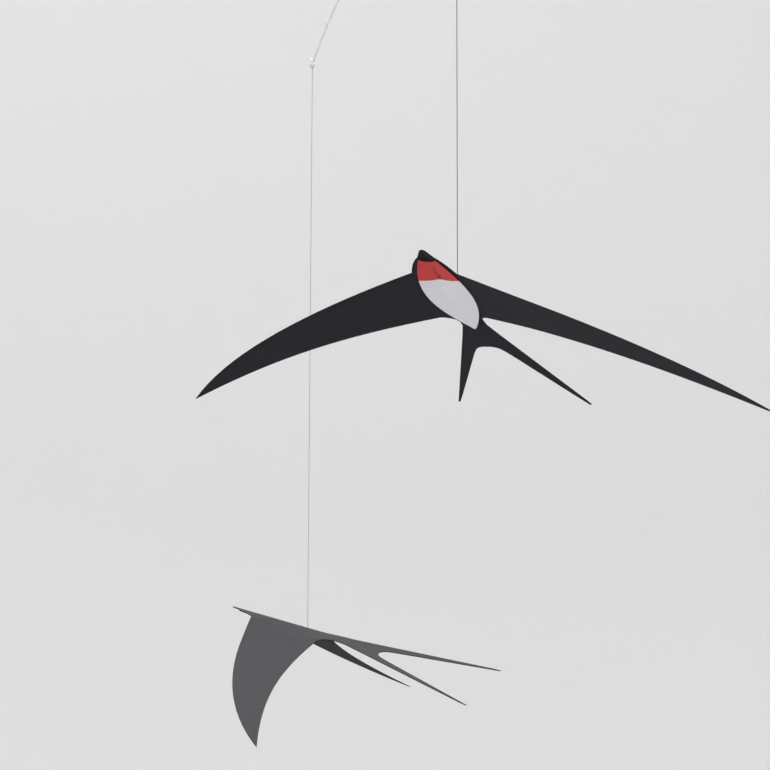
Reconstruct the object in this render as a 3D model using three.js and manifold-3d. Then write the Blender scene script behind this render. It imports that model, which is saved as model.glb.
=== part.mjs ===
// A hanging mobile: two folded card swallows on threads from one arched wire arm.
// Millimetres, +Z up. The origin is the centre of the eye in the middle of the arm,
// which the mobile hangs by. The arm runs along Y.
import * as THREE from 'three';
import { mergeVertices } from 'three/addons/utils/BufferGeometryUtils.js';
import Module from 'manifold-3d';

const wasm = await Module();
wasm.setup();

// Clearance kept between pieces that touch
const gap = 0.3;

// Arm: one spring wire, arched, with an eye bent in its middle and at each end
const wireDiameter = 1.2;
const armSpan = 260;
const armRise = 20;
const middleEyeBore = 4;
const endEyeBore = 2;
const wireSides = 8;
const archSteps = 16;
const middleEyeSteps = 24;
const endEyeSteps = 18;
const endEyeTurn = THREE.MathUtils.degToRad(345);

// Threads, one for each bird, tied round the end eyes
const threadDiameter = 0.3;
const upperThreadLength = 166;
const lowerThreadLength = 288.5;
const threadSides = 8;
const threadSteps = 40;
const knotDiameter = 1;

// Birds: cut from black card, with a white card breast under the fold
const wingSpan = 240;
const cardThickness = 0.4;
const breastThickness = 0.3;
const breastSwell = 0.7;
const headOffset = 0.4;
const wingSteps = 18;
const tailSteps = 8;
const shortEdgeSteps = 5;
const headSteps = 10;
const rootSteps = 16;
const breastRows = 12;
const breastColumns = 10;

// How each bird hangs, in degrees. The heading turns from +X towards +Y, a positive pitch lifts
// the beak, and a positive roll lifts the left wing. The droop is each wing's fall from the
// fold, the rise is each tail half's lift from it, and the dip lowers the tail's end.
// A wing's twist turns its leading edge down, and the head lift bends up the head's left half.
// The rest is in millimetres: how far the middle of a wing is bent up, how far the fold sags where
// the wings give way to the tail, how far to the left of the fold the breast is glued, and how far
// forward of its place in the outline the thread's hole is.
const upperBirdPose = {
  heading: -125.1, pitch: 16.2, roll: -3.8, droop: 14.8,
  leftBend: -0.4, rightBend: 0.2, leftTwist: 2.2, rightTwist: 0,
  tailRise: 5.6, tailDip: 3.7, tailTwist: 0, leftHeadLift: 0,
  waistSag: 0, breastOffset: 0.9, hole: 0,
};
const lowerBirdPose = {
  heading: 148.6, pitch: 14.8, roll: -4.7, droop: 17.6,
  leftBend: -0.9, rightBend: 0, leftTwist: 1, rightTwist: -1.6,
  tailRise: 3.6, tailDip: 3.8, tailTwist: -10.6, leftHeadLift: 20.9,
  waistSag: 1.4, breastOffset: -0.9, hole: 0.6,
};

// Colours
const steel = new THREE.MeshStandardMaterial({ color: 0xb9bcc0, roughness: 0.3, metalness: 1 });
const thread = new THREE.MeshStandardMaterial({ color: 0x6e6e70, roughness: 0.8, metalness: 0 });
const blackCard = new THREE.MeshStandardMaterial({ color: 0x2b2a2e, roughness: 0.75, metalness: 0 });
const breastCard = new THREE.MeshStandardMaterial({ color: 0xd6d4da, roughness: 0.75, metalness: 0 });

// Points of the bird's flat outline, left half, as shares of half the wing span: forward of
// the thread, and out from the fold
const halfSpan = wingSpan / 2;
const at = (forward, out) => new THREE.Vector2(forward * halfSpan, out * halfSpan);
const beakTip = at(0.3525, 0);
const beakCorner = at(0.3495, 0.0098);
const beakRoot = at(0.3167, 0.0265);
const neck = at(0.235, 0.0742);
const wingTip = at(-0.2279, 1);
const wingRoot = at(-0.0723, 0.08);
const tailRoot = at(-0.1833, 0.0415);
const tailTip = at(-0.7844, 0.2436);
const tailTipInner = at(-0.7864, 0.2375);
const forkShoulder = at(-0.3406, 0.0389);
const fork = at(-0.321, 0);
const headSide = new THREE.QuadraticBezierCurve(beakRoot, at(0.2917, 0.055), neck);
const leadingEdge = new THREE.CubicBezierCurve(neck, at(0.1616, 0.4231), at(0.0293, 0.7634), wingTip);
const trailingEdge = new THREE.CubicBezierCurve(
  wingTip, at(-0.0742, 0.6261), at(-0.0502, 0.4007), wingRoot);
const notchEdge = new THREE.CubicBezierCurve(wingRoot, at(-0.0765, 0.058), at(-0.135, 0.0345), tailRoot);
const tailOuter = new THREE.CubicBezierCurve(tailRoot, at(-0.3298, 0.0871), at(-0.751, 0.2335), tailTip);
const tailInner = new THREE.CubicBezierCurve(
  tailTipInner, at(-0.6046, 0.1534), at(-0.36, 0.0571), forkShoulder);
const forkEdge = new THREE.QuadraticBezierCurve(forkShoulder, at(-0.321, 0.0207), fork);

// The breast's outline, left half, from its front corner over its widest place to its tip
const breastFront = new THREE.CubicBezierCurve(
  at(0.3125, 0.0283), at(0.2292, 0.0685), at(0.1583, 0.078), at(0.0958, 0.078));
const breastRear = new THREE.CubicBezierCurve(
  at(0.0958, 0.078), at(0.0083, 0.078), at(-0.0917, 0.0445), at(-0.1833, 0.0045));
const breastHollow = 0.0235 * halfSpan;
const creaseEnd = 0.164 * halfSpan;
const smoothFrom = 0.04 * halfSpan;
const bellyRounding = 0.06 * halfSpan;

// Share of the half span over which a wing's twist comes in
const twistStart = 0.3;

// Where the head lift starts, and where it is full
const headLiftStart = 0.117 * halfSpan;
const headLiftFull = 0.283 * halfSpan;

const middleEyeRadius = (middleEyeBore + wireDiameter) / 2;
const endEyeRadius = (endEyeBore + wireDiameter) / 2;
const wireSideStep = wireDiameter + gap;
const radians = THREE.MathUtils.degToRad;

// A closed body from its triangles, with its shared corners joined
function bodyFrom(positions, indices) {
  const geometry = new THREE.BufferGeometry();
  geometry.setAttribute('position', new THREE.Float32BufferAttribute(positions, 3));
  geometry.setIndex(indices);
  return mergeVertices(geometry, 1e-4);
}

// Both solids joined into one
function joined(first, second) {
  const solids = [first, second].map((geometry) => {
    geometry.deleteAttribute('normal');
    geometry.deleteAttribute('uv');
    const merged = mergeVertices(geometry, 1e-4);
    return new wasm.Manifold(new wasm.Mesh({
      numProp: 3,
      vertProperties: Float32Array.from(merged.attributes.position.array),
      triVerts: Uint32Array.from(merged.index.array),
    }));
  });
  const mesh = solids[0].add(solids[1]).getMesh();
  return bodyFrom(Array.from(mesh.vertProperties), Array.from(mesh.triVerts));
}

function roundSection(diameter, sides) {
  const section = new THREE.Shape();
  for (let i = 0; i < sides; i += 1) {
    const angle = (2 * Math.PI * i) / sides;
    const x = (diameter / 2) * Math.cos(angle);
    const y = (diameter / 2) * Math.sin(angle);
    if (i === 0) section.moveTo(x, y);
    else section.lineTo(x, y);
  }
  section.closePath();
  return section;
}

// A bent wire: runs one after another, each with its own number of steps, so that the eyes
// have short steps and the long arch has few
class WirePath extends THREE.Curve {
  constructor(runs) {
    super();
    this.runs = runs;
    this.steps = runs.reduce((sum, run) => sum + run.steps, 0);
  }

  getPoint(t) {
    let station = t * this.steps;
    let run = this.runs[0];
    for (run of this.runs) {
      if (station <= run.steps) break;
      station -= run.steps;
    }
    return run.point(Math.min(station / run.steps, 1));
  }

  getUtoTmapping(u) {
    return u;
  }
}

// Arch: an arc through both ends of the arm, with its top under the middle eye
const archRadius = ((armSpan / 2) ** 2 + armRise ** 2) / (2 * armRise);
const archHalfAngle = Math.asin(armSpan / 2 / archRadius);
const archCentreZ = -middleEyeRadius - archRadius;

function archPoint(angle, x) {
  return new THREE.Vector3(x, archRadius * Math.sin(angle), archCentreZ + archRadius * Math.cos(angle));
}

// Centre of the eye at the arm's +Y end, which curls under the arch
const endEyeCentre = archPoint(archHalfAngle, 0).add(
  new THREE.Vector3(0, -Math.sin(archHalfAngle), -Math.cos(archHalfAngle)).multiplyScalar(endEyeRadius));

// Round the end eye from the arch's end: it steps aside as it turns, so that the wire's tip
// lies beside the arch, and its lowest point is in the arm's middle plane
function endEyePoint(turn, end) {
  const lowestTurn = Math.PI - archHalfAngle;
  const x = end * wireSideStep * (0.5 - (0.5 * turn) / lowestTurn);
  const angle = archHalfAngle + turn;
  return new THREE.Vector3(
    x,
    end * (endEyeCentre.y + endEyeRadius * Math.sin(angle)),
    endEyeCentre.z + endEyeRadius * Math.cos(angle),
  );
}

function middleEyePoint(turn) {
  const x = wireSideStep * (turn / (2 * Math.PI) - 0.5);
  return new THREE.Vector3(x, middleEyeRadius * Math.sin(turn), -middleEyeRadius * Math.cos(turn));
}

function makeArm() {
  const path = new WirePath([
    { steps: endEyeSteps, point: (t) => endEyePoint(endEyeTurn * (1 - t), -1) },
    { steps: archSteps, point: (t) => archPoint(-archHalfAngle * (1 - t), -wireSideStep / 2) },
    { steps: middleEyeSteps, point: (t) => middleEyePoint(2 * Math.PI * t) },
    { steps: archSteps, point: (t) => archPoint(archHalfAngle * t, wireSideStep / 2) },
    { steps: endEyeSteps, point: (t) => endEyePoint(endEyeTurn * t, 1) },
  ]);
  return new THREE.ExtrudeGeometry(roundSection(wireDiameter, wireSides), {
    steps: path.steps, extrudePath: path, bevelEnabled: false,
  });
}

// Heights below each end eye's centre: the wire's lowest turn, the knot, and the thread's top
const eyeBottom = -endEyeRadius;
const loopRadius = wireDiameter / 2 + gap + threadDiameter / 2;
const knotDrop = eyeBottom - wireDiameter / 2 - gap - knotDiameter / 2;
const threadTopDrop = knotDrop - knotDiameter / 2 - gap;

// The thread's loop round the eye's wire, with its knot underneath, about the eye's centre
function makeKnot() {
  const loop = new THREE.TorusGeometry(loopRadius, threadDiameter / 2, 6, 20);
  loop.rotateX(Math.PI / 2);
  loop.translate(0, 0, eyeBottom);
  const knot = new THREE.SphereGeometry(knotDiameter / 2, 10, 8);
  knot.translate(0, 0, knotDrop);
  return joined(loop, knot);
}

// A straight thread, hanging down from its own top
function makeThread(length) {
  const line = new THREE.LineCurve3(new THREE.Vector3(0, 0, 0), new THREE.Vector3(0, 0, -length));
  return new THREE.ExtrudeGeometry(roundSection(threadDiameter, threadSides), {
    steps: threadSteps, extrudePath: line, bevelEnabled: false,
  });
}

const smooth = (x) => {
  const t = THREE.MathUtils.clamp(x, 0, 1);
  return t * t * (3 - 2 * t);
};

// Where a point of the flat card goes when a bird is folded. The wings fall from the fold in
// flat panels, the tail halves lift from it, and the waist between them turns from one to
// the other. Beyond the tail's own spread there is only wing.
function folder(pose) {
  const droop = radians(pose.droop);
  const rise = radians(pose.tailRise);
  const dip = radians(pose.tailDip);
  const twist = radians(pose.tailTwist);
  const wing = (u, s) => {
    const along = Math.min(Math.abs(s) / halfSpan, 1);
    const bend = (s > 0 ? pose.leftBend : pose.rightBend) * 4 * along * (1 - along);
    const twistAngle = radians(s > 0 ? pose.leftTwist : pose.rightTwist) * smooth(along / twistStart);
    const chordMiddle = (neck.x + wingRoot.x) / 2 * (1 - along ** 2) + wingTip.x * along ** 2;
    const fall = Math.abs(s) * Math.sin(droop) + (u - chordMiddle) * Math.sin(twistAngle);
    const liftShare = smooth((u - headLiftStart) / (headLiftFull - headLiftStart));
    const headShare = 1 - smooth((s - neck.y) / (2 * neck.y));
    const headOut = THREE.MathUtils.clamp(s, 0, neck.y);
    const lift = headOut * headShare * Math.sin(radians(pose.leftHeadLift) * liftShare);
    return new THREE.Vector3(u, s * Math.cos(droop), bend + lift - fall);
  };
  const tail = (u, s) => {
    const behind = u - tailRoot.x;
    const point = new THREE.Vector3(
      tailRoot.x + behind * Math.cos(dip),
      s * Math.cos(rise),
      Math.abs(s) * Math.sin(rise) + behind * Math.sin(dip) - pose.waistSag,
    );
    return point.applyAxisAngle(new THREE.Vector3(1, 0, 0), twist);
  };
  const middle = (u, s) => {
    const waist = Math.abs(s) > tailTip.y ? 0 : smooth((wingRoot.x - u) / (wingRoot.x - tailRoot.x));
    return wing(u, s).lerp(tail(u, s), waist);
  };
  const normal = (u, s) => {
    const step = 0.01;
    const along = middle(u + step, s).sub(middle(u - step, s));
    const across = middle(u, s + step).sub(middle(u, s - step));
    return along.cross(across).normalize();
  };
  return { droop, wing, middle, normal };
}

// The fold isn't quite in the head's middle: how far a point of the outline lies to the left of
// where a true fold would have it. It is most at the neck, and nothing at the thread and the beak.
function askew(point) {
  const toNeck = point.x / neck.x;
  const toBeak = (beakTip.x - point.x) / (beakTip.x - neck.x);
  return point.y > 0 ? headOffset * THREE.MathUtils.clamp(Math.min(toNeck, toBeak), 0, 1) : 0;
}

// The bird's card: the flat outline is filled panel by panel, folded and given its thickness
function makeCard(pose) {
  const { middle, normal } = folder(pose);
  const head = [beakTip, beakCorner, ...headSide.getPoints(headSteps)];
  const leading = leadingEdge.getPoints(wingSteps);
  const trailing = trailingEdge.getPoints(wingSteps).reverse();
  const notch = notchEdge.getPoints(shortEdgeSteps);
  const tailEdge = [...tailOuter.getPoints(tailSteps), ...tailInner.getPoints(tailSteps)];
  const forkPoints = forkEdge.getPoints(shortEdgeSteps);
  const root = new THREE.LineCurve(neck, wingRoot).getPoints(rootSteps);
  const onFold = (point) => new THREE.Vector2(point.x, 0);
  const panels = [
    [onFold(wingRoot), ...notch, onFold(tailRoot)],
    [onFold(tailRoot), ...tailEdge, ...forkPoints.slice(1)],
    [root[rootSteps / 2], leading[1], trailing[1]],
  ];
  for (let i = 0; i < rootSteps; i += 1) {
    panels.push([root[i], root[i + 1], i < rootSteps / 2 ? leading[1] : trailing[1]]);
  }
  const bodyEdge = [...head, ...root.slice(1)];
  for (let i = 0; i + 1 < bodyEdge.length; i += 1) {
    const [front, rear] = [bodyEdge[i], bodyEdge[i + 1]];
    panels.push(i === 0 ? [front, rear, onFold(rear)] : [onFold(front), front, rear, onFold(rear)]);
  }
  for (let i = 1; i + 1 < wingSteps; i += 1) {
    panels.push([trailing[i], leading[i], leading[i + 1], trailing[i + 1]]);
  }
  panels.push([trailing[wingSteps - 1], leading[wingSteps - 1], wingTip]);
  const wingEdge = [...leading, ...trailing.slice(0, -1).reverse()];
  const leftEdge = [head, wingEdge, notch, tailEdge, forkPoints].flatMap(
    (edge, i) => edge.slice(i === 0 ? 0 : 1));

  const positions = [];
  const indices = [];
  const addTriangle = (corners) => {
    for (const corner of corners) {
      indices.push(positions.length / 3);
      positions.push(...corner.toArray());
    }
  };
  const face = (point, side, up) => {
    const s = side * point.y + askew(point);
    return middle(point.x, s).addScaledVector(normal(point.x, s), (up * cardThickness) / 2);
  };
  for (const side of [1, -1]) {
    for (const panel of panels) {
      for (const [a, b, c] of THREE.ShapeUtils.triangulateShape(panel, [])) {
        const corners = [panel[a], panel[b], panel[c]];
        const turn = side * corners[1].clone().sub(corners[0]).cross(corners[2].clone().sub(corners[0]));
        if (turn < 0) corners.reverse();
        addTriangle(corners.map((point) => face(point, side, 1)));
        addTriangle(corners.reverse().map((point) => face(point, side, -1)));
      }
    }
    for (let i = 0; i + 1 < leftEdge.length; i += 1) {
      const [from, to] = side > 0 ? [leftEdge[i], leftEdge[i + 1]] : [leftEdge[i + 1], leftEdge[i]];
      addTriangle([face(from, side, -1), face(to, side, -1), face(to, side, 1)]);
      addTriangle([face(from, side, -1), face(to, side, 1), face(from, side, 1)]);
    }
  }
  return bodyFrom(positions, indices);
}

// The breast: a dished shell under the card. It follows the fold as a crease down the throat
// and is rounded behind it. Its edges lie just under the card.
function makeBreast(pose) {
  const { droop, wing, middle } = folder(pose);
  const clear = (cardThickness / 2 + gap) / Math.cos(droop);
  const rows = [...breastFront.getPoints(breastRows), ...breastRear.getPoints(breastRows).slice(1)];
  const widest = breastFront.v3.y;
  const frontRow = rows[0];

  const section = (row, share) => {
    const offset = pose.breastOffset * Math.sqrt(row.y / widest);
    const halfWidth = row.y + Math.sign(share) * THREE.MathUtils.clamp(offset, -row.y / 2, row.y / 2);
    const s = share * halfWidth;
    const inner = 1 - share * share;
    const frontness = smooth((row.x - creaseEnd) / (frontRow.x - creaseEnd));
    const u = row.x - breastHollow * inner * frontness;
    const rounded = smooth((creaseEnd - row.x) / (creaseEnd - smoothFrom));
    const radius = bellyRounding * rounded;
    const out = Math.abs(share) * row.y;
    const blunting = Math.hypot(out, radius) - Math.hypot(row.y, radius) + row.y - out;
    const swell = breastSwell * rounded * Math.sqrt(row.y / widest) * inner;
    const ceiling = Math.min(wing(u, s).z, middle(u, s).z);
    return new THREE.Vector3(
      u, s * Math.cos(droop), ceiling - clear - Math.sin(droop) * blunting - swell);
  };

  const positions = [];
  for (const drop of [0, breastThickness]) {
    for (const row of rows) {
      for (let j = 0; j <= breastColumns; j += 1) {
        const point = section(row, (2 * j) / breastColumns - 1);
        positions.push(point.x, point.y, point.z - drop);
      }
    }
  }
  const width = breastColumns + 1;
  const layer = rows.length * width;
  const indices = [];
  const quad = (a, b, c, d) => indices.push(a, b, c, a, c, d);
  for (let i = 0; i + 1 < rows.length; i += 1) {
    for (let j = 0; j < breastColumns; j += 1) {
      const a = i * width + j;
      quad(a, a + 1, a + 1 + width, a + width);
      quad(layer + a, layer + a + width, layer + a + 1 + width, layer + a + 1);
    }
    const right = i * width;
    const left = right + breastColumns;
    quad(right, right + width, layer + right + width, layer + right);
    quad(left, layer + left, layer + left + width, left + width);
  }
  for (let j = 0; j < breastColumns; j += 1) {
    const last = (rows.length - 1) * width + j;
    quad(j, layer + j, layer + j + 1, j + 1);
    quad(last, last + 1, layer + last + 1, layer + last);
  }
  return bodyFrom(positions, indices);
}

function named(name, geometry, material) {
  const mesh = new THREE.Mesh(geometry, material);
  mesh.name = name;
  return mesh;
}

// One thread with its knot and its bird, under the eye at one end of the arm
function makeDrop(name, end, length, pose) {
  const drop = new THREE.Group();
  drop.position.set(0, end * endEyeCentre.y, endEyeCentre.z);
  drop.add(named(`${name}_knot`, makeKnot(), thread));

  const line = named(`${name}_thread`, makeThread(length), thread);
  line.position.z = threadTopDrop;
  drop.add(line);

  const bird = new THREE.Group();
  bird.position.z = threadTopDrop - length - gap - cardThickness / 2;
  bird.rotation.set(radians(pose.roll), radians(-pose.pitch), radians(pose.heading), 'ZYX');
  bird.add(named(`${name}_bird_card`, makeCard(pose), blackCard));
  bird.add(named(`${name}_bird_breast`, makeBreast(pose), breastCard));
  for (const piece of bird.children) piece.position.x = -pose.hole;
  drop.add(bird);
  return drop;
}

const group = new THREE.Group();
group.add(named('arm_wire', makeArm(), steel));
group.add(makeDrop('upper', -1, upperThreadLength, upperBirdPose));
group.add(makeDrop('lower', 1, lowerThreadLength, lowerBirdPose));

export default group;
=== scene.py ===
# %% [markdown]
# A hanging mobile, dressed on its frame
# The mobile is two swallows folded from black card, each on a thread from one end of an arched
# wire arm. The frame already holds every piece at its real size and place, in metres, with +Z up
# and the origin in the eye that the mobile hangs by. This lesson gives each piece its finish,
# and makes a finer piece where the frame's own is too plain to be looked at closely.

# %% Load the frame
import math

import bmesh
import bpy
from mathutils import Matrix, Vector


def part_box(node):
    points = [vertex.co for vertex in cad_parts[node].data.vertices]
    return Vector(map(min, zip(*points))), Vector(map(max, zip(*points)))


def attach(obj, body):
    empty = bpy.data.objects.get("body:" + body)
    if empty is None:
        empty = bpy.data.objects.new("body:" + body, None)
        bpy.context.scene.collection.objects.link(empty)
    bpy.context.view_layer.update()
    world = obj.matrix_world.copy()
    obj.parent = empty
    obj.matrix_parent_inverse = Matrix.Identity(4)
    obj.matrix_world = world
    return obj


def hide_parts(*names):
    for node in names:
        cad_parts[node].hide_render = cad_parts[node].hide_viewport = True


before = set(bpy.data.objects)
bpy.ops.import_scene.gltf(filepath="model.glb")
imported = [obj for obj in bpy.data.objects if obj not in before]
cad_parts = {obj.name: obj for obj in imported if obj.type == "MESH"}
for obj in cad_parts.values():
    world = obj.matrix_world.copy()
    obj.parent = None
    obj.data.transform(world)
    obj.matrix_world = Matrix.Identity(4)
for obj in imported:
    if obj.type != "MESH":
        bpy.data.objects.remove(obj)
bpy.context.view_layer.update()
MM = 0.001

# %% [markdown]
# The camera
# The photograph was taken from below the upper bird, about 0.7 m away, looking slightly up. A
# camera that looks along a measured heading, pitched up by a few degrees, gives the same view,
# and the lens sets how large the birds come out. It could also be aimed with a Track To
# constraint, but three plain angles are easier to read and to keep.

# %% Camera
CAMERA_PLACE = Vector((-0.19405, -0.76611, -0.3112))
CAMERA_HEADING = math.radians(-14.63)
CAMERA_PITCH = math.radians(7.31)
CAMERA_ROLL = math.radians(0.17)
SENSOR = 36
LENS = 84.47

camera = bpy.data.objects.new("camera", bpy.data.cameras.new("camera"))
bpy.context.scene.collection.objects.link(camera)
camera.data.sensor_width = SENSOR
camera.data.lens = LENS
camera.data.clip_start = 0.05
turn_heading = Matrix.Rotation(CAMERA_HEADING, 4, "Z")
turn_pitch = Matrix.Rotation(math.radians(90) + CAMERA_PITCH, 4, "X")
turn_roll = Matrix.Rotation(CAMERA_ROLL, 4, "Z")
camera.matrix_world = Matrix.Translation(CAMERA_PLACE) @ turn_heading @ turn_pitch @ turn_roll
bpy.context.scene.camera = camera
bpy.context.view_layer.update()
print("camera looks along", [round(v, 4) for v in camera.matrix_world.to_3x3() @ Vector((0, 0, -1))])

# %% [markdown]
# Hands for the work
# Operators act on whatever is selected, and the frame arrives with all of its pieces selected.
# So one helper clears the selection and takes up a single piece. Another copies a frame piece,
# because the frame's own meshes stay untouched: they are loose triangles, and a copy has to be
# merged before any modifier can see its surface. One more helper, used for every piece, gives
# it its material and hides the frame's nodes that the piece takes the place of.

# %% Helpers
BODY = "root"
MERGE_DISTANCE = 0.01 * MM


def pick(piece):
    bpy.ops.object.select_all(action="DESELECT")
    piece.select_set(True)
    bpy.context.view_layer.objects.active = piece


def apply_modifier(piece, kind, **values):
    pick(piece)
    modifier = piece.modifiers.new(kind.lower(), kind)
    for name, value in values.items():
        setattr(modifier, name, value)
    bpy.ops.object.modifier_apply(modifier=modifier.name)


def copy_of(node, name):
    piece = bpy.data.objects.new(name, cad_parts[node].data.copy())
    bpy.context.scene.collection.objects.link(piece)
    piece.data.materials.clear()
    pick(piece)
    bpy.ops.object.mode_set(mode="EDIT")
    bpy.ops.mesh.select_all(action="SELECT")
    bpy.ops.mesh.remove_doubles(threshold=MERGE_DISTANCE)
    bpy.ops.object.mode_set(mode="OBJECT")
    return piece


def dress(piece, material):
    piece.data.materials.clear()
    piece.data.materials.append(material)


def finish_piece(piece, material, slot, *nodes):
    dress(piece, material)
    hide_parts(*nodes)
    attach(piece, BODY)
    print(piece.name, len(piece.data.polygons), "faces")


# %% [markdown]
# The threads
# Each thread is two fine plies twisted together, and it hangs straight under its bird's weight.
# A round tube would read as wire from close by. So the section is two lobes side by side, swept
# down the thread and turned as it goes, which is how twist shows on real thread. Its upper end
# starts inside the knot, and its lower end reaches the fold, which the real thread goes through.

# %% Threads
THREAD_WIDTH = 0.3 * MM
THREAD_TWIST_LENGTH = 1.1 * MM
THREAD_STEPS_PER_TWIST = 10
THREAD_SIDES = 12
PLY_WAIST = 0.16
ROUTE_POINTS = 24
THREAD_GAP = 0.3 * MM
THREAD_REACH = 0.25 * MM
THREAD_IN_KNOT = 0.4 * MM
THREAD_SMOOTH_ANGLE = math.radians(60)


def thread_route(node):
    low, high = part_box(node)
    middle = (Vector(low) + Vector(high)) / 2
    top = Vector((middle.x, middle.y, high[2] + THREAD_IN_KNOT))
    bottom = Vector((middle.x, middle.y, low[2] - THREAD_REACH))
    return [top.lerp(bottom, i / (ROUTE_POINTS - 1)) for i in range(ROUTE_POINTS)]


def make_thread(node, name):
    route = thread_route(node)
    top, bottom = route[0], route[-1]
    length = (top - bottom).length
    rings = round(length / THREAD_TWIST_LENGTH * THREAD_STEPS_PER_TWIST)
    mesh = bmesh.new()
    previous = None
    for ring in range(rings + 1):
        place = top.lerp(bottom, ring / rings)
        turn = 2 * math.pi * ring / THREAD_STEPS_PER_TWIST
        corners = []
        for side in range(THREAD_SIDES):
            angle = 2 * math.pi * side / THREAD_SIDES
            radius = THREAD_WIDTH / 2 * (1 - PLY_WAIST * math.sin(angle) ** 2)
            offset = Vector((math.cos(angle + turn), math.sin(angle + turn), 0)) * radius
            corners.append(mesh.verts.new(place + offset))
        if previous:
            for side in range(THREAD_SIDES):
                after = (side + 1) % THREAD_SIDES
                mesh.faces.new((previous[side], corners[side], corners[after], previous[after]))
        else:
            mesh.faces.new(corners)
        previous = corners
    mesh.faces.new(list(reversed(previous)))
    data = bpy.data.meshes.new(name)
    mesh.to_mesh(data)
    mesh.free()
    piece = bpy.data.objects.new(name, data)
    bpy.context.scene.collection.objects.link(piece)
    pick(piece)
    bpy.ops.object.shade_smooth_by_angle(angle=THREAD_SMOOTH_ANGLE)
    return piece, route, length


# %% [markdown]
# Bird coordinates
# A bird's colours follow its card: the red ends on a line across the throat, and the fold is
# rubbed paler. The birds hang at odd angles, so each gets a frame of its own, with X towards its
# beak, Y towards its left wing and Z up from its back. The lower bird's thread goes through a
# hole a little further forward. Every bird piece keeps its points' places in that frame as an
# attribute named card_place, in millimetres, for its materials. Each face also keeps how much it
# looks up, or down: the card's upper faces get painted light that makes them paler, and the
# breast is printed underneath only.

# %% Bird frames
CARD_THICKNESS = 0.4 * MM
# Painted light: records how much a face looks up, so the card's upper faces can be painted paler.
TOP_PAINTED_LIGHT = "top_painted_light"
PRINTED_FACE = "printed_face"
FACING_FROM = 0.25
FACING_FULL = 0.75
BIRD_ANGLES = {
    "upper": {"heading": -125.1, "pitch": 16.2, "roll": -3.8, "hole": 0.0},
    "lower": {"heading": 148.6, "pitch": 14.8, "roll": -4.7, "hole": 0.6},
}


def bird_frame(side):
    angles = BIRD_ANGLES[side]
    route = thread_route(f"{side}_thread")
    centre = route[-1] - Vector((0, 0, THREAD_GAP - THREAD_REACH + CARD_THICKNESS / 2))
    turn = (
        Matrix.Rotation(math.radians(angles["heading"]), 4, "Z")
        @ Matrix.Rotation(math.radians(-angles["pitch"]), 4, "Y")
        @ Matrix.Rotation(math.radians(angles["roll"]), 4, "X")
    )
    return Matrix.Translation(centre) @ turn @ Matrix.Translation((-angles["hole"] * MM, 0, 0))


bird_frames = {side: bird_frame(side) for side in BIRD_ANGLES}
for side, placed in bird_frames.items():
    print(side, "bird is at", [round(value / MM, 1) for value in placed.translation], "mm")


def keep_facing(piece, side, name, way):
    looked_for = bird_frames[side].to_3x3() @ Vector((0, 0, way))
    attribute = piece.data.attributes.new(name, "FLOAT", "FACE")
    for face in piece.data.polygons:
        share = (face.normal.dot(looked_for) - FACING_FROM) / (FACING_FULL - FACING_FROM)
        attribute.data[face.index].value = min(max(share, 0), 1)


def keep_card_place(piece, side):
    inverse = bird_frames[side].inverted()
    attribute = piece.data.attributes.new("card_place", "FLOAT_VECTOR", "POINT")
    for vertex in piece.data.vertices:
        attribute.data[vertex.index].vector = (inverse @ vertex.co) / MM


# %% [markdown]
# Effects shared by the finishes
# Two papers and a thread all show fibres, so the fibre is a node group with its own inputs:
# a mottle of fine noise, crossed by noise stretched into short hairs. The card's materials use
# its mask for colour and its height for a bump. The stretching happens on Object coordinates,
# so the pattern has the same scale on every piece.

# %% Fibre group
HAIR_SCALE = 2600
HAIR_LAYS = ((25, 0.12), (-40, 0.15))
MOTTLE_SCALE = 260


def new_group(name, inputs, outputs):
    group = bpy.data.node_groups.new(name, "ShaderNodeTree")
    for label, value in inputs.items():
        socket = group.interface.new_socket(label, in_out="INPUT", socket_type="NodeSocketFloat")
        socket.default_value = value
    for label in outputs:
        group.interface.new_socket(label, in_out="OUTPUT", socket_type="NodeSocketFloat")
    return group, group.nodes.new("NodeGroupInput"), group.nodes.new("NodeGroupOutput")


def show_outputs(group):
    sockets = [socket.name for socket in group.interface.items_tree if socket.in_out == "OUTPUT"]
    print("group", group.name, "puts out", sockets)


def math_node(tree, operation, first, second=None, third=None):
    node = tree.nodes.new("ShaderNodeMath")
    node.operation = operation
    for index, value in enumerate((first, second, third)):
        if value is None:
            continue
        if isinstance(value, (int, float)):
            node.inputs[index].default_value = value
        else:
            tree.links.new(value, node.inputs[index])
    return node.outputs[0]


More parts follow.
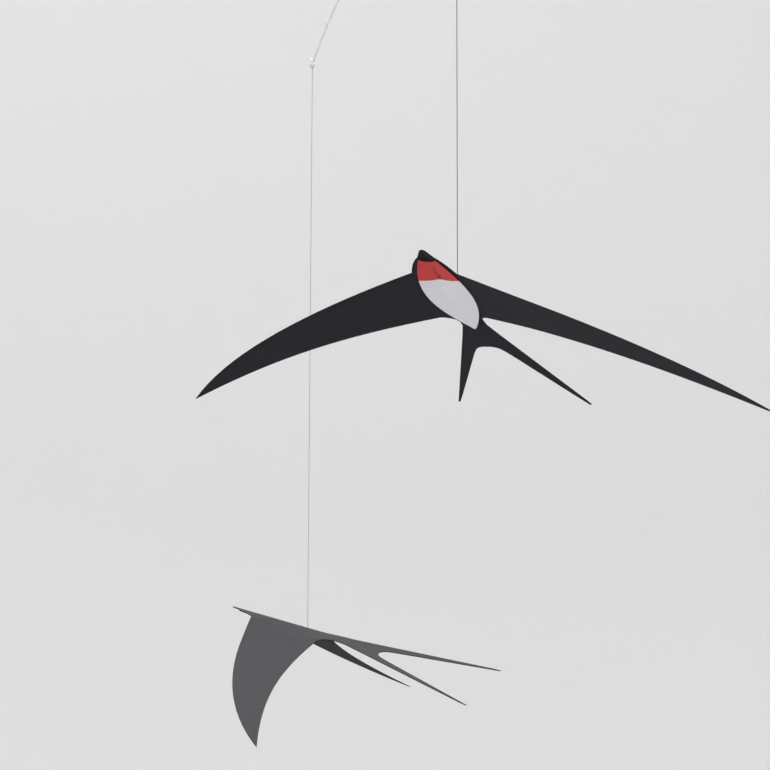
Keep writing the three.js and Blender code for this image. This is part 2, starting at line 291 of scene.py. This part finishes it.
def make_fibre_group():
    group, source, sink = new_group("paper_fibre", {"Size": 1.0, "Hairs": 0.5}, ("Mask", "Height"))
    place = group.nodes.new("ShaderNodeTexCoord")
    scaled = group.nodes.new("ShaderNodeVectorMath")
    scaled.operation = "SCALE"
    group.links.new(place.outputs["Object"], scaled.inputs[0])
    group.links.new(math_node(group, "DIVIDE", 1.0, source.outputs["Size"]), scaled.inputs["Scale"])
    masks = []
    for turn, squeeze in HAIR_LAYS:
        lay = group.nodes.new("ShaderNodeMapping")
        lay.inputs["Rotation"].default_value = [math.radians(turn * share) for share in (1, 0.5, 2)]
        lay.inputs["Scale"].default_value = (1, squeeze, 1)
        group.links.new(scaled.outputs[0], lay.inputs["Vector"])
        hairs = group.nodes.new("ShaderNodeTexNoise")
        hairs.inputs["Scale"].default_value = HAIR_SCALE
        hairs.inputs["Detail"].default_value = 3
        group.links.new(lay.outputs[0], hairs.inputs["Vector"])
        masks.append(hairs.outputs["Fac"])
    mottle = group.nodes.new("ShaderNodeTexNoise")
    mottle.inputs["Scale"].default_value = MOTTLE_SCALE
    mottle.inputs["Detail"].default_value = 5
    mottle.inputs["Roughness"].default_value = 0.65
    group.links.new(scaled.outputs[0], mottle.inputs["Vector"])
    hairs = math_node(group, "MAXIMUM", masks[0], masks[1])
    smooth_share = math_node(group, "SUBTRACT", 1.0, source.outputs["Hairs"])
    mottled = math_node(group, "MULTIPLY", mottle.outputs["Fac"], smooth_share)
    mask = math_node(group, "MULTIPLY_ADD", hairs, source.outputs["Hairs"], mottled)
    height = math_node(group, "MULTIPLY_ADD", mottle.outputs["Fac"], 0.5, hairs)
    group.links.new(mask, sink.inputs["Mask"])
    group.links.new(height, sink.inputs["Height"])
    return group


fibre_group = make_fibre_group()
show_outputs(fibre_group)

# %% [markdown]
# Lines on the card
# The fold's rubbed ridge and the dart in the throat are both soft lines that run along the card,
# so they share one group. It reads card_place and puts out how far forward and how far left a
# point is, and how near it is to a line at the given distance from the fold.

# %% Card line group
def make_line_group():
    group, source, sink = new_group(
        "card_line", {"Centre": 0.0, "Half Width": 0.5}, ("Forward", "Left", "Near"))
    place = group.nodes.new("ShaderNodeAttribute")
    place.attribute_name = "card_place"
    parts = group.nodes.new("ShaderNodeSeparateXYZ")
    group.links.new(place.outputs["Vector"], parts.inputs[0])
    beside = math_node(group, "SUBTRACT", parts.outputs["Y"], source.outputs["Centre"])
    near = group.nodes.new("ShaderNodeMapRange")
    near.interpolation_type = "SMOOTHSTEP"
    near.inputs["From Max"].default_value = 0
    group.links.new(math_node(group, "ABSOLUTE", beside), near.inputs["Value"])
    group.links.new(source.outputs["Half Width"], near.inputs["From Min"])
    group.links.new(parts.outputs["X"], sink.inputs["Forward"])
    group.links.new(parts.outputs["Y"], sink.inputs["Left"])
    group.links.new(near.outputs["Result"], sink.inputs["Near"])
    return group


line_group = make_line_group()
show_outputs(line_group)

# %% [markdown]
# Tools for materials
# The same few steps come back in every material: a colour ramp, a blend of two colours, a bump,
# and a value brought to another range. Each is a short function here, so that the materials below
# read as what they are made of, and not as a list of nodes and links.

# %% Tools for materials
finishes = {}


def new_material(name):
    material = bpy.data.materials.new(name)
    material.use_nodes = True
    return material, material.node_tree, material.node_tree.nodes["Principled BSDF"]


def use_group(tree, group, **values):
    node = tree.nodes.new("ShaderNodeGroup")
    node.node_tree = group
    for label, value in values.items():
        node.inputs[label.replace("_", " ")].default_value = value
    return node


def colours(tree, mask, stops):
    ramp = tree.nodes.new("ShaderNodeValToRGB")
    points = ramp.color_ramp.elements
    while len(points) < len(stops):
        points.new(0.5)
    for point, (place, colour) in zip(points, stops):
        point.position = place
        point.color = (*colour, 1)
    tree.links.new(mask, ramp.inputs["Fac"])
    return ramp.outputs["Color"]


def blend(tree, mask, first, second):
    mix = tree.nodes.new("ShaderNodeMix")
    mix.data_type = "RGBA"
    tree.links.new(mask, mix.inputs["Factor"])
    for value, socket in ((first, mix.inputs[6]), (second, mix.inputs[7])):
        if isinstance(value, tuple):
            socket.default_value = (*value, 1)
        else:
            tree.links.new(value, socket)
    return mix.outputs[2]


def bump(tree, shader, height, strength, depth, over=None):
    node = tree.nodes.new("ShaderNodeBump")
    if over:
        tree.links.new(over, node.inputs["Normal"])
    node.inputs["Strength"].default_value = strength
    node.inputs["Distance"].default_value = depth
    tree.links.new(height, node.inputs["Height"])
    tree.links.new(node.outputs["Normal"], shader.inputs["Normal"])
    return node.outputs["Normal"]


def ranged(tree, value, low, high, to_low, to_high):
    node = tree.nodes.new("ShaderNodeMapRange")
    node.inputs["From Min"].default_value = low
    node.inputs["From Max"].default_value = high
    node.inputs["To Min"].default_value = to_low
    node.inputs["To Max"].default_value = to_high
    tree.links.new(value, node.inputs["Value"])
    return node.outputs["Result"]


# %% [markdown]
# The black card
# It is dyed right through, so its cut edges are as black as its faces. It is matt, and its felted
# fibres break the light up finely. The faces that look up are painted greyer than the undersides,
# as painted light from above, and the fold's ridge is rubbed a little paler still. How much a face
# looks up in the bird's own frame is kept as an attribute, and the material blends by it.

# %% Black card
FOLD_HALF_WIDTH = 0.35
# The undersides' own blacks, and the paler greys painted on upward faces as painted light.
UNDERSIDE_BLACKS = ((0.3, (0.0140, 0.0129, 0.0168)), (0.72, (0.0235, 0.0218, 0.0275)))
PAINTED_LIT_BLACKS = ((0.3, (0.070, 0.068, 0.074)), (0.72, (0.094, 0.092, 0.100)))
RUBBED_BLACK = (0.13, 0.128, 0.135)


def make_black_card():
    material, tree, shader = new_material("black_card")
    fibre = use_group(tree, fibre_group, Size=1.0, Hairs=0.6)
    fold = use_group(tree, line_group, Half_Width=FOLD_HALF_WIDTH)
    mask = fibre.outputs["Mask"]
    underside_black = colours(tree, mask, UNDERSIDE_BLACKS)
    painted_lit_black = colours(tree, mask, PAINTED_LIT_BLACKS)
    top_light = tree.nodes.new("ShaderNodeAttribute")
    top_light.attribute_name = TOP_PAINTED_LIGHT
    # Painted light: blends towards the paler greys on faces that look up.
    base = blend(tree, top_light.outputs["Fac"], underside_black, painted_lit_black)
    fold_top = math_node(tree, "MULTIPLY", fold.outputs["Near"], top_light.outputs["Fac"])
    rubbed = math_node(tree, "MULTIPLY", fold_top, mask)
    tree.links.new(blend(tree, rubbed, base, RUBBED_BLACK), shader.inputs["Base Color"])
    tree.links.new(ranged(tree, mask, 0.3, 0.7, 0.78, 0.92), shader.inputs["Roughness"])
    shader.inputs["Specular IOR Level"].default_value = 0.1
    bump(tree, shader, fibre.outputs["Height"], 0.35, 0.06 * MM)
    return material


finishes["black_card"] = make_black_card()
print("black card has", len(finishes["black_card"].node_tree.nodes), "nodes")

# %% [markdown]
# The breast card
# The breast is white card, printed red from the beak to a line across the throat. Only its lower
# face is printed. Beside the red its cut edge is painted dark, as painted shade where the rim sits
# against the black card. The card has a small dart in its throat: it starts as a faint pressed
# line under the beak, opens to about a millimetre, and ends at the edge of the red. Its dark red
# is painted shade in the crease, and a bump presses it in. All of it follows the card's own
# places, so it stays put however the bird hangs.

# %% Breast card
WHITES = ((0.3, (0.62, 0.61, 0.65)), (0.7, (0.715, 0.702, 0.745)))
REDS = ((0.3, (0.45, 0.029, 0.026)), (0.7, (0.55, 0.044, 0.039)))
RED_LINE = 20.72
RED_LINE_BOW = 0.0457
INK_EDGE = 0.12
# Painted shade: the cut rim beside the red is coloured dark.
PAINTED_RIM_SHADE = (0.085, 0.045, 0.046)
DART_FRONT = 36.0
DART_OPEN = 31.0
DART_WIDEST = 25.0
DART_HALF_WIDTH = 1.35
DART_LEFT_AT_FRONT = 0.35
DART_LEFT_AT_LINE = 0.6
DART_WAVE = 0.2
DART_WAVES_PER_MM = 1.1
# Painted shade: the dart's crease is coloured dark red.
DART_PAINTED_SHADE = (0.25, 0.008, 0.012)


def make_breast_card():
    material, tree, shader = new_material("breast_card")
    fibre = use_group(tree, fibre_group, Size=0.8, Hairs=0.5)
    mask = fibre.outputs["Mask"]
    card = use_group(tree, line_group)
    forward = card.outputs["Forward"]
    white = colours(tree, mask, WHITES)
    red = colours(tree, mask, REDS)
    squared = math_node(tree, "MULTIPLY", card.outputs["Left"], card.outputs["Left"])
    bowed = math_node(tree, "MULTIPLY", squared, RED_LINE_BOW)
    line = math_node(tree, "SUBTRACT", forward, bowed)
    throat = ranged(tree, line, RED_LINE - INK_EDGE, RED_LINE + INK_EDGE, 0.0, 1.0)
    underneath = tree.nodes.new("ShaderNodeAttribute")
    underneath.attribute_name = PRINTED_FACE
    lower_face = blend(tree, throat, white, red)
    # Painted shade on the cut rim where the red is.
    shaded_rim = blend(tree, throat, white, PAINTED_RIM_SHADE)
    print_and_rim_shade = blend(tree, underneath.outputs["Fac"], shaded_rim, lower_face)

    straight = ranged(tree, forward, RED_LINE, DART_FRONT, DART_LEFT_AT_LINE, DART_LEFT_AT_FRONT)
    wave = math_node(tree, "SINE", math_node(tree, "MULTIPLY", forward, DART_WAVES_PER_MM))
    centre = math_node(tree, "MULTIPLY_ADD", wave, DART_WAVE, straight)
    opened = ranged(tree, forward, DART_OPEN, DART_WIDEST, 0.5, 1.0)
    closed = ranged(tree, forward, RED_LINE, DART_WIDEST, 0.75, 1.0)
    width = math_node(tree, "MULTIPLY", math_node(tree, "MULTIPLY", opened, closed), DART_HALF_WIDTH)
    dart = use_group(tree, line_group)
    tree.links.new(centre, dart.inputs["Centre"])
    tree.links.new(width, dart.inputs["Half Width"])
    behind = ranged(tree, forward, DART_OPEN + 1.5, DART_WIDEST + 2, 0.12, 1.0)
    ended = math_node(tree, "MULTIPLY", behind, throat)
    depth = math_node(tree, "MULTIPLY", dart.outputs["Near"], ended)
    # Painted shade in the dart's crease, on top of its pressed bump.
    dark = blend(tree, depth, print_and_rim_shade, DART_PAINTED_SHADE)
    tree.links.new(dark, shader.inputs["Base Color"])
    tree.links.new(ranged(tree, mask, 0.3, 0.7, 0.6, 0.75), shader.inputs["Roughness"])
    shader.inputs["Specular IOR Level"].default_value = 0.3
    pressed = bump(tree, shader, math_node(tree, "MULTIPLY", depth, -1.0), 0.5, 0.15 * MM)
    bump(tree, shader, fibre.outputs["Height"], 0.3, 0.05 * MM, over=pressed)
    return material


finishes["breast_card"] = make_breast_card()
print("breast card has", len(finishes["breast_card"].node_tree.nodes), "nodes")

# %% [markdown]
# The wire and the thread
# The arm is bright drawn wire: the die leaves fine lines along it, and the bends have dull spots.
# The threads are matt grey, a little paler where the fibres catch light, and the upper bird's is
# the darker of the two. One function makes both, so that only their two greys differ.

# %% Steel wire and thread finishes
STEELS = ((0.35, (0.72, 0.73, 0.75)), (0.65, (0.84, 0.85, 0.87)))
DRAWN_LINES = (9000, 120, 9000)
DULL_SPOT_SCALE = 180


def make_steel():
    material, tree, shader = new_material("steel_wire")
    place = tree.nodes.new("ShaderNodeTexCoord")
    lay = tree.nodes.new("ShaderNodeMapping")
    lay.inputs["Scale"].default_value = DRAWN_LINES
    tree.links.new(place.outputs["Object"], lay.inputs["Vector"])
    lines = tree.nodes.new("ShaderNodeTexNoise")
    lines.inputs["Scale"].default_value = 1
    lines.inputs["Detail"].default_value = 3
    tree.links.new(lay.outputs[0], lines.inputs["Vector"])
    dull = tree.nodes.new("ShaderNodeTexNoise")
    dull.inputs["Scale"].default_value = DULL_SPOT_SCALE
    dull.inputs["Detail"].default_value = 4
    tree.links.new(place.outputs["Object"], dull.inputs["Vector"])
    tree.links.new(colours(tree, dull.outputs["Fac"], STEELS), shader.inputs["Base Color"])
    tree.links.new(ranged(tree, dull.outputs["Fac"], 0.3, 0.7, 0.2, 0.36), shader.inputs["Roughness"])
    shader.inputs["Metallic"].default_value = 1.0
    bump(tree, shader, lines.outputs["Fac"], 0.15, 0.01 * MM)
    return material


def make_thread_finish(name, dark, light):
    material, tree, shader = new_material(name)
    fibre = use_group(tree, fibre_group, Size=0.3, Hairs=0.8)
    base = colours(tree, fibre.outputs["Mask"], ((0.3, dark), (0.7, light)))
    tree.links.new(base, shader.inputs["Base Color"])
    tree.links.new(ranged(tree, fibre.outputs["Mask"], 0.3, 0.7, 0.65, 0.85), shader.inputs["Roughness"])
    shader.inputs["Specular IOR Level"].default_value = 0.15
    bump(tree, shader, fibre.outputs["Height"], 0.3, 0.02 * MM)
    return material


THREAD_GREYS = {
    "upper_thread": ((0.004, 0.004, 0.0042), (0.012, 0.012, 0.0124)),
    "lower_thread": ((0.28, 0.28, 0.286), (0.41, 0.41, 0.416)),
}
finishes["steel_wire"] = make_steel()
for name, (dark, light) in THREAD_GREYS.items():
    finishes[name] = make_thread_finish(name, dark, light)
print("finishes:", sorted(finishes))

# %% [markdown]
# The threads' knots
# Each thread is tied round the eye's wire and its knot sits underneath. A single overhand knot
# drawn tight is a trefoil, which a short formula gives. The loop above it is a ring round the
# wire, started from a torus primitive.

# %% Knots and cords
KNOT_SIZE = 0.34 * MM
KNOT_POINTS = 48
KNOT_HALF_HEIGHT = 0.5 * MM
LOOP_RADIUS = 1.05 * MM


def make_knot(side):
    low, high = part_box(f"{side}_knot")
    middle_x = (low[0] + high[0]) / 2
    middle_y = (low[1] + high[1]) / 2
    loop_centre = Vector((middle_x, middle_y, high[2] - LOOP_RADIUS - THREAD_WIDTH / 2))
    bpy.ops.mesh.primitive_torus_add(
        location=loop_centre,
        rotation=(math.radians(90), 0, 0),
        major_radius=LOOP_RADIUS,
        minor_radius=THREAD_WIDTH / 2,
        major_segments=48,
        minor_segments=12,
    )
    loop = bpy.context.object
    bpy.ops.object.shade_smooth()
    bpy.ops.object.transform_apply(location=True, rotation=True, scale=True)

    curve = bpy.data.curves.new(f"{side}_knot_line", "CURVE")
    curve.dimensions = "3D"
    curve.bevel_depth = THREAD_WIDTH / 2
    curve.bevel_resolution = 3
    curve.resolution_u = 4
    spline = curve.splines.new("POLY")
    spline.points.add(KNOT_POINTS - 1)
    spline.use_cyclic_u = True
    knot_centre = Vector((middle_x, middle_y, low[2] + KNOT_HALF_HEIGHT))
    for i in range(KNOT_POINTS):
        t = 2 * math.pi * i / KNOT_POINTS
        x = math.sin(t) + 2 * math.sin(2 * t)
        y = math.cos(t) - 2 * math.cos(2 * t)
        z = -math.sin(3 * t)
        place = knot_centre + Vector((x / 3, z / 3, y / 3)) * KNOT_SIZE
        spline.points[i].co = (*place, 1)
    knot = bpy.data.objects.new(f"{side}_knot_line", curve)
    bpy.context.scene.collection.objects.link(knot)
    pick(knot)
    bpy.ops.object.convert(target="MESH")
    knot = bpy.context.object
    bpy.ops.object.shade_smooth()
    loop.select_set(True)
    bpy.context.view_layer.objects.active = loop
    bpy.ops.object.join()
    loop.name = f"{side}_tied_knot"
    return loop


for side in BIRD_ANGLES:
    knot = make_knot(side)
    finish = finishes[f"{side}_thread"]
    finish_piece(knot, finish, "thread", f"{side}_knot")
    thread, route, length = make_thread(f"{side}_thread", f"{side}_twisted_thread")
    finish_piece(thread, finish, "thread", f"{side}_thread")
    print(side, "thread is", round(length / MM, 1), "mm long")

# %% [markdown]
# The arm
# The frame's arm has eight flat sides, which show as stripes in bright metal. A merged copy with
# two levels of Subdivision Surface comes out round. Subdividing pulls the sides in, so a small
# Displace along the normals puts the wire's thickness back. A curve swept along the arm would be
# round as well, but it would need the arm's whole route over again.

# %% Arm
WIRE_PULLED_IN = 0.056 * MM

arm = copy_of("arm_wire", "wire_arm")
apply_modifier(arm, "SUBSURF", levels=2, render_levels=2)
apply_modifier(arm, "DISPLACE", strength=WIRE_PULLED_IN, mid_level=0.0)
pick(arm)
bpy.ops.object.shade_smooth()
finish_piece(arm, finishes["steel_wire"], "steel_wire", "arm_wire")

# %% [markdown]
# The birds' card
# The frame's card has the true outline and folds. Real card is cut by a die that rounds the upper
# edge and leaves the lower one crisp, and light catches that rounding, so a merged copy gets a
# small bevel along its cut edges. The fold itself is too shallow an angle for the bevel to touch.

# %% Bird cards
EDGE_ROUNDING = 0.09 * MM
CUT_EDGE_ANGLE = math.radians(50)
FLAT_ANGLE = math.radians(0.5)
CARD_SMOOTH_ANGLE = math.radians(12)


def make_bird_card(side):
    card = copy_of(f"{side}_bird_card", f"{side}_folded_card")
    bpy.ops.object.mode_set(mode="EDIT")
    bpy.ops.mesh.select_all(action="SELECT")
    bpy.ops.mesh.dissolve_limited(angle_limit=FLAT_ANGLE)
    bpy.ops.object.mode_set(mode="OBJECT")
    apply_modifier(
        card, "BEVEL", width=EDGE_ROUNDING, segments=2, limit_method="ANGLE", angle_limit=CUT_EDGE_ANGLE)
    pick(card)
    bpy.ops.object.shade_smooth_by_angle(angle=CARD_SMOOTH_ANGLE)
    keep_card_place(card, side)
    # Painted light: marks the card's upward faces for their paler painted greys.
    keep_facing(card, side, TOP_PAINTED_LIGHT, 1)
    return card


for side in BIRD_ANGLES:
    finish_piece(make_bird_card(side), finishes["black_card"], "black_card", f"{side}_bird_card")

# %% [markdown]
# The breasts
# The breast is dished, so it needs a smooth surface with one sharp thing in it: its cut rim.
# Subdivision Surface rounds everything that isn't creased, so the rim's edges get a crease first.
# The middle of the throat is left to round off, as thick paper does when it is bent by hand.

# %% Breasts
RIM_ANGLE = math.radians(50)
BREAST_SMOOTH_ANGLE = math.radians(35)


def make_breast(side):
    breast = copy_of(f"{side}_bird_breast", f"{side}_dished_breast")
    mesh = bmesh.new()
    mesh.from_mesh(breast.data)
    creases = mesh.edges.layers.float.new("crease_edge")
    for edge in mesh.edges:
        if edge.calc_face_angle(0) > RIM_ANGLE:
            edge[creases] = 1.0
    mesh.to_mesh(breast.data)
    mesh.free()
    apply_modifier(breast, "SUBSURF", levels=2, render_levels=2)
    pick(breast)
    bpy.ops.object.shade_smooth_by_angle(angle=BREAST_SMOOTH_ANGLE)
    keep_card_place(breast, side)
    keep_facing(breast, side, PRINTED_FACE, -1)
    return breast


for side in BIRD_ANGLES:
    finish_piece(make_breast(side), finishes["breast_card"], "breast_card", f"{side}_bird_breast")

# %% [markdown]
# Floor, light and background
# The mobile hangs in a plain pale room. A shallow bowl gives a floor and a background in one
# piece with no corner in it, wherever the camera stands. It is spun from a profile line, which
# is quicker than modelling walls and rounding where they meet.

# %% Floor and background
FLOOR_LEVEL = -3.2
BOWL_RADIUS = 5.0
BOWL_FLAT_RADIUS = 2.5
BOWL_TOP = 4.0
PROFILE_STEPS = 16
BOWL_STEPS = 96
WALL_GREY = (0.87, 0.87, 0.87, 1)


def make_bowl():
    mesh = bpy.data.meshes.new("floor_and_background")
    sheet = bmesh.new()
    profile = [Vector((0, 0, FLOOR_LEVEL)), Vector((BOWL_FLAT_RADIUS, 0, FLOOR_LEVEL))]
    rounding = BOWL_RADIUS - BOWL_FLAT_RADIUS
    for i in range(1, PROFILE_STEPS + 1):
        angle = math.pi / 2 * i / PROFILE_STEPS
        profile.append(Vector((
            BOWL_FLAT_RADIUS + rounding * math.sin(angle),
            0,
            FLOOR_LEVEL + rounding * (1 - math.cos(angle)),
        )))
    profile.append(Vector((BOWL_RADIUS, 0, BOWL_TOP)))
    points = [sheet.verts.new(place) for place in profile]
    edges = [sheet.edges.new(pair) for pair in zip(points, points[1:])]
    bmesh.ops.spin(
        sheet, geom=points + edges, axis=(0, 0, 1), cent=(0, 0, 0), angle=2 * math.pi, steps=BOWL_STEPS)
    bmesh.ops.remove_doubles(sheet, verts=sheet.verts, dist=0.001)
    bmesh.ops.recalc_face_normals(sheet, faces=sheet.faces)
    bmesh.ops.reverse_faces(sheet, faces=sheet.faces)
    sheet.to_mesh(mesh)
    sheet.free()
    bowl = bpy.data.objects.new("floor_and_background", mesh)
    bpy.context.scene.collection.objects.link(bowl)
    pick(bowl)
    bpy.ops.object.shade_smooth()
    return bowl


bowl = make_bowl()
paint, tree, shader = new_material("pale_wall")
shader.inputs["Base Color"].default_value = WALL_GREY
shader.inputs["Roughness"].default_value = 0.9
shader.inputs["Specular IOR Level"].default_value = 0.1
dress(bowl, paint)
print("bowl has", len(bowl.data.polygons), "faces and a floor at", FLOOR_LEVEL, "m")

# %% [markdown]
# Soft light
# The photograph's light is bright and even, with no hard shadow, as in a white room by day. A
# white world does most of that. A large softbox overhead and behind greys the cards' tops, a
# weak one below keeps the undersides from going flat, and a third lifts the background. Where a
# low camera sees past the bowl's rim, the world shows in the bowl's own grey.

# %% Soft light
WORLD_STRENGTH = 0.93
WORLD_SEEN = 0.73

world = bpy.data.worlds.new("soft_room")
bpy.context.scene.world = world
world.use_nodes = True
tree = world.node_tree
background = tree.nodes["Background"]
background.inputs["Color"].default_value = (1.0, 1.0, 1.0, 1)
seen = tree.nodes.new("ShaderNodeLightPath").outputs["Is Camera Ray"]
strength = math_node(tree, "MULTIPLY_ADD", seen, WORLD_SEEN - WORLD_STRENGTH, WORLD_STRENGTH)
tree.links.new(strength, background.inputs["Strength"])


def add_softbox(name, place, target, size, watts):
    light = bpy.data.lights.new(name, "AREA")
    light.shape = "SQUARE"
    light.size = size
    light.energy = watts
    box = bpy.data.objects.new(name, light)
    bpy.context.scene.collection.objects.link(box)
    box.location = place
    box.rotation_euler = (Vector(target) - Vector(place)).to_track_quat("-Z", "Y").to_euler()


MOBILE_MIDDLE = (0, 0, -0.2)
WALL_MIDDLE = (0.5, 5, 1.4)
SOFTBOXES = (
    ("overhead_softbox", (0.6, 1.8, 2.3), MOBILE_MIDDLE, 2.2, 60),
    ("side_softbox", (-2.6, -1.2, -1.0), MOBILE_MIDDLE, 1.6, 17),
    ("wall_softbox", (-0.4, 2.6, 2.6), WALL_MIDDLE, 1.6, 8),
)
for softbox in SOFTBOXES:
    add_softbox(*softbox)
    print(softbox[0], "gives", softbox[-1], "W")
bpy.context.scene.view_settings.view_transform = "Standard"
